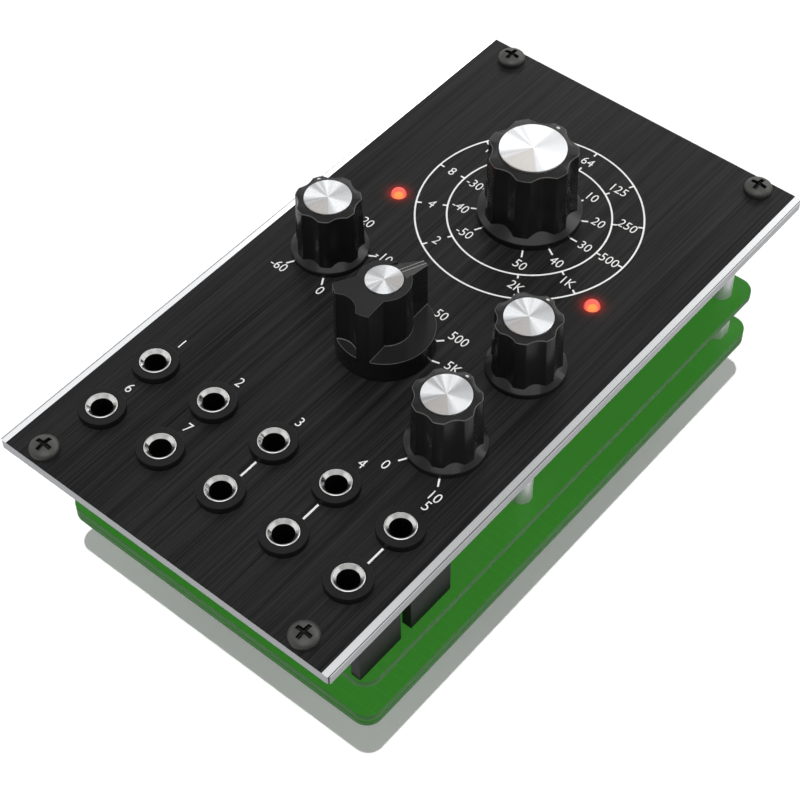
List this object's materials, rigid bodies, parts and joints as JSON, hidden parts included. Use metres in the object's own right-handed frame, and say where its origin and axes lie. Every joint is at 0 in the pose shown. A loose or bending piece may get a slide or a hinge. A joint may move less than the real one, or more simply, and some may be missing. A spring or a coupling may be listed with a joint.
{
  "type": "eurorack module",
  "caption": "Synthesizer module lying on its back: brushed black panel with fluted and pointer knobs, lamps and mini jack sockets over two stacked green circuit boards.",
  "frame": {"origin": "centre of the panel in plan, on the surface under the power header's rim", "axes": "+X to the right along the panel's short edge as its front is read, +Y to the panel's upper end, +Z out of the front of the panel"},
  "size_m": [0.0708, 0.1284, 0.0544],
  "materials": {
    "panel_black_brushed": "black anodised and finely brushed along its length, pale printing, bare silver edges",
    "screw_dark_metal": "dark oxide coated steel, satin",
    "socket_plastic": "black moulded plastic, a plated rim and bore on the sockets",
    "nut_black": "black plated, light worn edge on its chamfer",
    "zinc_steel": "zinc plated steel",
    "knob_gloss_black": "glossy black moulding with white pointer dots",
    "cap_spun_aluminium": "spun, with radial highlights",
    "lamp_red": "clear red lens, lit from inside",
    "board_green": "green solder mask over glass laminate, paler raw edges",
    "spacer_nickel": "nickel plated, glossy"
  },
  "bodies": {
    "chassis": {"front_panel": "panel_black_brushed", "panel_screw_top_left": "screw_dark_metal", "panel_screw_top_right": "screw_dark_metal", "panel_screw_bottom_left": "screw_dark_metal", "panel_screw_bottom_right": "screw_dark_metal", "jack_socket_1": "socket_plastic", "jack_socket_2": "socket_plastic", "jack_socket_3": "socket_plastic", "jack_socket_4": "socket_plastic", "jack_socket_5": "socket_plastic", "jack_socket_6": "socket_plastic", "jack_socket_7": "socket_plastic", "jack_socket_8": "socket_plastic", "jack_socket_9": "socket_plastic", "jack_socket_10": "socket_plastic", "jack_nut_1": "nut_black", "jack_nut_2": "nut_black", "jack_nut_3": "nut_black", "jack_nut_4": "nut_black", "jack_nut_5": "nut_black", "jack_nut_6": "nut_black", "jack_nut_7": "nut_black", "jack_nut_8": "nut_black", "jack_nut_9": "nut_black", "jack_nut_10": "nut_black", "main_potentiometer": "zinc_steel", "threshold_potentiometer": "zinc_steel", "trim_potentiometer": "zinc_steel", "mix_potentiometer": "zinc_steel", "selector_switch": "zinc_steel", "lamp_left": "lamp_red", "lamp_right": "lamp_red", "upper_board": "board_green", "lower_board": "board_green", "rear_power_board": "board_green", "panel_spacer_upper_left": "spacer_nickel", "panel_spacer_upper_right": "spacer_nickel", "panel_spacer_lower_left": "spacer_nickel", "panel_spacer_lower_right": "spacer_nickel", "hex_standoff_left": "spacer_nickel", "hex_standoff_right": "spacer_nickel", "board_connector_left": "socket_plastic", "board_connector_right": "socket_plastic", "power_header": "socket_plastic"},
    "main_dial": {"main_knob": "knob_gloss_black", "main_knob_cap": "cap_spun_aluminium", "main_shaft": "zinc_steel"},
    "threshold_dial": {"threshold_knob": "knob_gloss_black", "threshold_knob_cap": "cap_spun_aluminium", "threshold_shaft": "zinc_steel"},
    "trim_dial": {"trim_knob": "knob_gloss_black", "trim_knob_cap": "cap_spun_aluminium", "trim_shaft": "zinc_steel"},
    "mix_dial": {"mix_knob": "knob_gloss_black", "mix_knob_cap": "cap_spun_aluminium", "mix_shaft": "zinc_steel"},
    "selector_dial": {"selector_knob": "knob_gloss_black", "selector_knob_cap": "cap_spun_aluminium", "selector_shaft": "zinc_steel"}
  },
  "joints": [
    {"name": "main_turn", "type": "hinge", "parent": "chassis", "child": "main_dial", "pos_m": [0, 0.0304, 0.04], "axis": [0, 0, 1], "range_deg": [-150, 150]},
    {"name": "threshold_turn", "type": "hinge", "parent": "chassis", "child": "threshold_dial", "pos_m": [-0.0215, 0.0013, 0.04], "axis": [0, 0, 1], "range_deg": [-209, 91]},
    {"name": "trim_turn", "type": "hinge", "parent": "chassis", "child": "trim_dial", "pos_m": [0.0215, 0.0013, 0.04], "axis": [0, 0, 1], "range_deg": [-150, 150]},
    {"name": "mix_turn", "type": "hinge", "parent": "chassis", "child": "mix_dial", "pos_m": [0.0215, -0.0197, 0.04], "axis": [0, 0, 1], "range_deg": [-150, 150]},
    {"name": "selector_turn", "type": "hinge", "parent": "chassis", "child": "selector_dial", "pos_m": [0, -0.00925, 0.04], "axis": [0, 0, 1], "range_deg": [-60, 60]}
  ]
}
